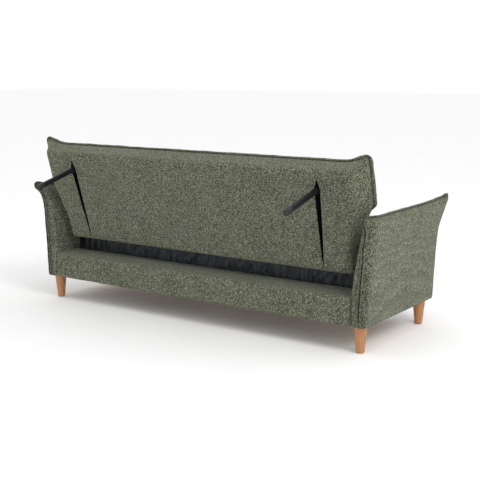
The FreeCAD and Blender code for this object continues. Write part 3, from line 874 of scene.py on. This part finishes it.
def arm_sections():
    """Inner and outer face of an arm at each height where the CAD arm changes."""
    heights = {}
    for vertex in frame["nodes"]["arm_cover_left"].data.vertices:
        heights.setdefault(round(vertex.co.z, 3), []).append(vertex.co.x)
    outline = [(z, min(xs), max(xs)) for z, xs in sorted(heights.items()) if len(xs) > 3]
    return np.array([row for row in outline if row[2] - row[1] > 0.04])


SECTIONS = arm_sections()


def arm_faces(z):
    """Inner and outer face of an arm at a height."""
    inner = np.interp(z, SECTIONS[:, 0], SECTIONS[:, 1])
    outer = np.interp(z, SECTIONS[:, 0], SECTIONS[:, 2])
    return inner, outer


def arm_rear(z):
    """Rear edge of an arm: upright, then drawn out to an ear."""
    return REAR + ARM_DRAWN * np.clip((z - 0.53) / (ARM_TOP - 0.53), 0, 1.2) ** 2


def arm_front(z):
    """Front edge of an arm, drawn out in the same way."""
    return FRONT - ARM_DRAWN * np.clip((z - 0.52) / (ARM_TOP - 0.52), 0, 1.2) ** 2


def arm_top(share, side):
    """Top edge from the rear (0) to the front (1), up to a raised front end."""
    rear_lift = EAR_LIFT[side] * (1 - smooth(share / 0.16))
    return ARM_TOP - 0.010 + rear_lift + 0.006 * share + 0.013 * smooth((share - 0.74) / 0.26)


def arm_outline_point(share, level, side):
    """(y, z) for shares of the arm's depth and height, with both top corners rounded."""
    top = arm_top(share, side)
    z = BOTTOM + (top - BOTTOM) * level
    rear, front = arm_rear(z), arm_front(z)
    y = rear + (front - rear) * share
    q = np.clip((z - (top - ARM_CORNER)) / ARM_CORNER, 0, 1)
    back_p = np.clip((y - (rear - ARM_CORNER)) / ARM_CORNER, 0, 1)
    fore_p = np.clip(((front + ARM_CORNER) - y) / ARM_CORNER, 0, 1)
    p = np.maximum(back_p, fore_p)
    sign = np.where(back_p > fore_p, 1.0, -1.0)
    y = y + sign * ARM_CORNER * (p * np.sqrt(1 - q * q / 2) - p)
    z = z + ARM_CORNER * (q * np.sqrt(1 - p * p / 2) - q)
    return y, z


def clustered(length, edge_low, edge_high, bends=7):
    """Shares of a length, close together where its ends turn."""
    low = [edge_low * (1 - math.cos(a)) for a in np.linspace(0, math.pi / 2, bends)]
    high = [length - edge_high * (1 - math.cos(a)) for a in np.linspace(math.pi / 2, 0, bends)]
    middle = spread(edge_low, length - edge_high, STEP)[1:-1]
    return np.array(low + list(middle) + high) / length


def arm_middle(z):
    """Where the seam lies between the two faces at a height."""
    inner, outer = arm_faces(z)
    share = ARM_SEAM_LOW + (ARM_SEAM_HIGH - ARM_SEAM_LOW) * smooth((z - 0.36) / 0.22)
    return inner + (outer - inner) * share


def ear_inward(y, z, side):
    """How far the rear and front top corners of an arm lean towards the seat."""
    high = smooth((z - 0.545) / (ARM_TOP - 0.545))
    rear = smooth((y - (REAR - 0.075)) / 0.085)
    front = smooth(((FRONT + 0.070) - y) / 0.080)
    return high * (EAR_LEAN[side] * rear - 0.008 * front)


def arm_forms(share, z):
    """Of both faces of an arm: its place, its bend, the flat strip beside its seam, and a seed."""
    inner, outer = arm_faces(z)
    behind = 1 - smooth(share / 0.35)
    pillow = smooth((z - 0.30) / 0.2) * behind
    puff = 0.016 * smooth((share - 0.5) / 0.4) * np.exp(-((z - 0.57) / 0.07) ** 2)
    puff = puff * smooth((ARM_TOP - 0.004 - z) / 0.045)
    hollow = 0.011 * behind * smooth((z - 0.16) / 0.10)
    return (inner, 0.018, 0.0, 50), (outer + puff, 0.018 + 0.030 * pillow, hollow, 51)


def make_arm(side, word):
    """An arm as two crowned faces that meet in the seam, flatter beside it at the rear."""
    depth, height = REAR - FRONT, ARM_TOP - BOTTOM
    shares = clustered(depth, ARM_EDGE, ARM_FRONT_EDGE)
    levels = clustered(height, ARM_LOW_EDGE, ARM_TOP_EDGE, 6)
    share, level = np.meshgrid(shares, levels)
    y, z = arm_outline_point(share, level, side)
    middle = arm_middle(z)
    lean = ear_inward(y, z, side)
    to_edge = np.minimum(share, 1 - share) * depth
    to_top = (1 - level) * height
    low = quarter(level * height / ARM_LOW_EDGE)
    shell = Shell()
    faces = []
    top_edge = ARM_TOP_EDGE - 0.022 * smooth((share - 0.4) / 0.6)
    for face, edge, flat, seed in arm_forms(share, z):
        full = quarter((to_edge - flat) / edge) ** 0.85 * quarter(to_top / top_edge) ** 0.85
        away = np.sign(face - middle)
        reach = np.abs(face - middle)
        place = together(face, y, z)
        soft = lumps(place, 0.10, 0.0020, seed) + lumps(place, 0.26, 0.0030, seed + 5)
        inset = ARM_LOW_EDGE * (1 - low)
        out = (reach - inset) * full + (soft - 0.001) * full * smooth(to_top / 0.03)
        x = middle + away * np.maximum(out, 0.0) - lean
        faces.append(together(side * x, y, z))
    shell.grid(faces[0])
    shell.grid(faces[1])
    shell.grid(np.stack([faces[0][0], faces[1][0]]))
    return shell.build("arm_" + word, materials["boucle"])


def arm_seam_path(side):
    """Up the rear edge of an arm, forward along its top and down its front."""
    levels = spread(0.006, 1.0, 0.012)
    tops = spread(0.0, 1.0, 0.012)
    up = [arm_outline_point(np.float64(0.0), level, side) for level in levels]
    along = [arm_outline_point(share, np.float64(1.0), side) for share in tops[1:]]
    down = [arm_outline_point(np.float64(1.0), level, side) for level in levels[::-1][1:]]
    outline = np.array(up + along + down, float)
    x = side * (arm_middle(outline[:, 1]) - ear_inward(outline[:, 0], outline[:, 1], side))
    return resampled(together(x, outline[:, 0], outline[:, 1]), 0.007)


def make_arm_seam(side, word):
    path = arm_seam_path(side)
    middle = np.array([side * 0.96, (REAR + FRONT) / 2, 0.40])
    rear_ear = np.exp(-(((path[:, 1] - REAR - 0.02) / 0.03) ** 2 + ((path[:, 2] - 0.625) / 0.03) ** 2))
    front_ear = np.exp(-(((path[:, 1] - FRONT + 0.02) / 0.03) ** 2 + ((path[:, 2] - 0.635) / 0.03) ** 2))
    end = smooth((path[:, 2] - BOTTOM) / 0.03)
    behind = smooth((path[:, 1] - REAR + 0.03) / 0.03)
    width = (0.010 + 0.003 * behind + 0.004 * rear_ear + 0.010 * front_ear) * (0.4 + 0.6 * end)
    thick = FLANGE_THICK * (0.7 + 0.3 * end) * (1 + 0.5 * behind)
    # Painted shade reaches further out on the arm flanges: 0.70 of their width.
    flange = make_flange("arm_flange_" + word, path, (side, 0, 0), middle, width, thick, 60, 0.25, 0.70)
    stitches = make_stitches("arm_stitches_" + word, path, (side, 0, 0), middle, 0.0046, 0.0028)
    return flange, stitches


# ---- rails, lining and dust cloth ---------------------------------------------------------------

def rounded_section(low, high, radii, counts):
    """A loop in (y, z) round a box. Radii and counts go from the rear face round over the top."""
    corners = [((high[0], low[1]), (0, 1)), ((high[0], high[1]), (-1, 0)), ((low[0], high[1]), (0, -1)),
               ((low[0], low[1]), (1, 0))]
    loop = []
    for k, ((cy, cz), ahead) in enumerate(corners):
        radius = radii[k]
        before = corners[k - 1][1]
        centre = (cy - before[0] * radius + ahead[0] * radius, cz - before[1] * radius + ahead[1] * radius)
        for angle in np.linspace(0, math.pi / 2, 5):
            back, out = radius * math.cos(angle), radius * math.sin(angle)
            loop.append((centre[0] - ahead[0] * back + before[0] * out,
                         centre[1] - ahead[1] * back + before[1] * out))
        following = corners[(k + 1) % 4][0]
        length = abs(following[0] - cy) + abs(following[1] - cz)
        for share in np.linspace(0, 1, counts[k])[1:-1]:
            along = radius + (length - radius - radii[(k + 1) % 4]) * share
            loop.append((cy + ahead[0] * along, cz + ahead[1] * along))
    return np.array(loop)


def make_rail(name, low, high, radii, soft, seed, end=0.004):
    """An upholstered rail: rounded edges, rounded ends, and a cover that isn't quite flat."""
    low, high = Vector((-RAIL_HALF, low.y, low.z)), Vector((RAIL_HALF, high.y, high.z))
    places = clustered(high.x - low.x, end, end, 6) * (high.x - low.x) + low.x
    shell = Shell()
    rings = []
    centre = np.array([(low.y + high.y) / 2, (low.z + high.z) / 2])
    upright, level = (max(4, int(length / STEP)) for length in (high.z - low.z, high.y - low.y))
    counts = (upright, level, upright, level)
    for x in places:
        to_end = min(x - low.x, high.x - x)
        inset = end * (1 - float(quarter(to_end / end)))
        loop = rounded_section((low.y + inset, low.z + inset), (high.y - inset, high.z - inset),
                               [max(0.002, r - inset * 0.3) for r in radii], counts)
        place = together(np.full(len(loop), x), loop[:, 0], loop[:, 1])
        uneven = lumps(place, 0.12, soft, seed) + lumps(place, 0.4, soft, seed + 1)
        loop = loop + unit(loop - centre) * (uneven * smooth(to_end / 0.05))[:, None]
        ring = together(np.full(len(loop), x), loop[:, 0], loop[:, 1])
        rings.append(np.concatenate([ring, ring[:1]]))
    shell.grid(np.array(rings))
    shell.fan(rings[0][:-1])
    shell.fan(rings[-1][:-1])
    return shell.build(name, materials["boucle"])


def make_rear_lining():
    """Black non-woven gathered into upright folds on the rear of the seat."""
    across = spread(-SEAT_HALF, SEAT_HALF, 0.0045)
    heights = np.linspace(lining_low.z - LINING_HANG, lining_high.z + LINING_TUCK, 20)
    x, z = np.meshgrid(across, heights)
    level = (z - heights[0]) / (heights[-1] - heights[0])
    slant = x + 0.35 * (z - heights[0])
    wide = lumps(together(slant, z * 0.30, 0 * z), 0.030, 1.0, 71)
    fine = lumps(together(x, z * 0.45, 0 * z), 0.014, 1.0, 72)
    ridges = np.clip(1 - 4.0 * np.abs(wide), 0, 1) + 0.45 * np.clip(1 - 3.2 * np.abs(fine), 0, 1)
    tight = 0.2 + 0.8 * np.sin(np.clip(level * 1.1, 0, 1) * math.pi)
    y = lining_low.y + 0.0008 + LINING_FOLD * ridges * tight
    shell = Shell()
    shell.grid(together(x, y, z))
    sheet = shell.build("seat_rear_cloth", materials["black_lining"])
    return sheet


def make_dust_cloth():
    """Black non-woven stapled under the seat, sagging a little between the rails."""
    x, y = np.meshgrid(spread(dust_low.x, dust_high.x, 0.02), spread(dust_low.y, dust_high.y, 0.02))
    edge_x = np.minimum(x - dust_low.x, dust_high.x - x)
    edge_y = np.minimum(y - dust_low.y, dust_high.y - y)
    sag = smooth((edge_y - 0.03) / 0.15) * smooth(edge_x / 0.12)
    place = together(x * 0.7, y, 0 * x)
    ripple = lumps(place, 0.05, 0.0016, 80) * sag
    z = dust_low.z + 0.0006 - 0.0035 * sag + np.minimum(ripple, 0.0)
    shell = Shell()
    shell.grid(together(x, y, z))
    sheet = shell.build("seat_dust_sheet", materials["black_lining"])
    return sheet


# ---- putting it together ------------------------------------------------------------------------

def attach(piece, body, slot, *nodes):
    """Puts a piece on its body and hides the CAD nodes that it stands for. Its slot argument is not used.
    """
    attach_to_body(piece, body)
    if nodes:
        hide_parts(*nodes)
    return piece


def upholster():
    back = attach(make_back_cushion(), "backrest", "boucle", "back_cover", "back_foam", "back_rear_panel")
    for piece in make_back_seam():
        attach(piece, "backrest", "boucle")
    for word, side in (("left", 1), ("right", -1)):
        pocket = make_slit_pocket(side, "slit_pocket_" + word)
        attach(pocket, "backrest", "black_lining")
        arm = attach(make_arm(side, word), "base", "boucle", "arm_cover_" + word)
        for piece in make_arm_seam(side, word):
            attach(piece, "base", "boucle")
    seat = attach(make_seat_cushion(), "seat", "boucle", "seat_cover", "seat_foam")
    for piece in make_seat_seam():
        attach(piece, "seat", "boucle")
    rear = make_rail("rear_rail", rail_low, rail_high, (0.006, 0.009, 0.008, 0.006), 0.0014, 90)
    attach(rear, "base", "boucle", "rear_rail_cover")
    front = make_rail("front_rail", front_low, front_high, (0.004, 0.006, 0.010, 0.006), 0.0010, 94)
    attach(front, "base", "boucle", "front_rail_cover")
    attach(make_rear_lining(), "seat", "black_lining", "seat_rear_lining")
    attach(make_dust_cloth(), "seat", "black_lining", "seat_dust_cloth")


# ---- stage --------------------------------------------------------------------------------------

def add_floor():
    mesh = bpy.data.meshes.new("floor")
    reach = 40.0
    mesh.from_pydata([(-reach, -reach, 0), (reach, -reach, 0), (reach, reach, 0), (-reach, reach, 0)],
                     [], [(0, 1, 2, 3)])
    floor = bpy.data.objects.new("floor", mesh)
    link(floor)
    paint = Material("floor_paint", 0.9)
    speck = paint.noise(3.0, 2.0)
    colour = paint.ramp(speck[0], [(0.3, (0.94, 0.94, 0.94)), (0.7, (0.96, 0.96, 0.96))])
    mesh.materials.append(paint.finish(colour))


def add_light(name, location, target, size, power):
    data = bpy.data.lights.new(name, "AREA")
    data.shape = "SQUARE"
    data.size = size
    data.energy = power
    light = bpy.data.objects.new(name, data)
    light.location = location
    direction = Vector(target) - Vector(location)
    light.rotation_euler = direction.to_track_quat("-Z", "Y").to_euler()
    link(light)


def add_lights():
    world = bpy.data.worlds.new("studio")
    world.use_nodes = True
    world.node_tree.nodes["Background"].inputs["Color"].default_value = (1.0, 1.0, 1.0, 1.0)
    world.node_tree.nodes["Background"].inputs["Strength"].default_value = 1.0
    bpy.context.scene.world = world
    add_light("key_light", (-5.2, 1.9, 4.6), (0.0, 0.0, 0.4), 2.4, 150.0)


def add_camera():
    data = bpy.data.cameras.new("camera")
    data.lens = CAMERA_LENS
    data.sensor_width = 36.0
    camera = bpy.data.objects.new("camera", data)
    camera.location = CAMERA_PLACE
    camera.rotation_euler = [math.radians(angle) for angle in CAMERA_TURN_DEG]
    link(camera)
    bpy.context.scene.camera = camera


add_camera()
add_floor()
add_lights()
finish_cad_nodes()
upholster()
bpy.context.scene.view_settings.view_transform = "Standard"
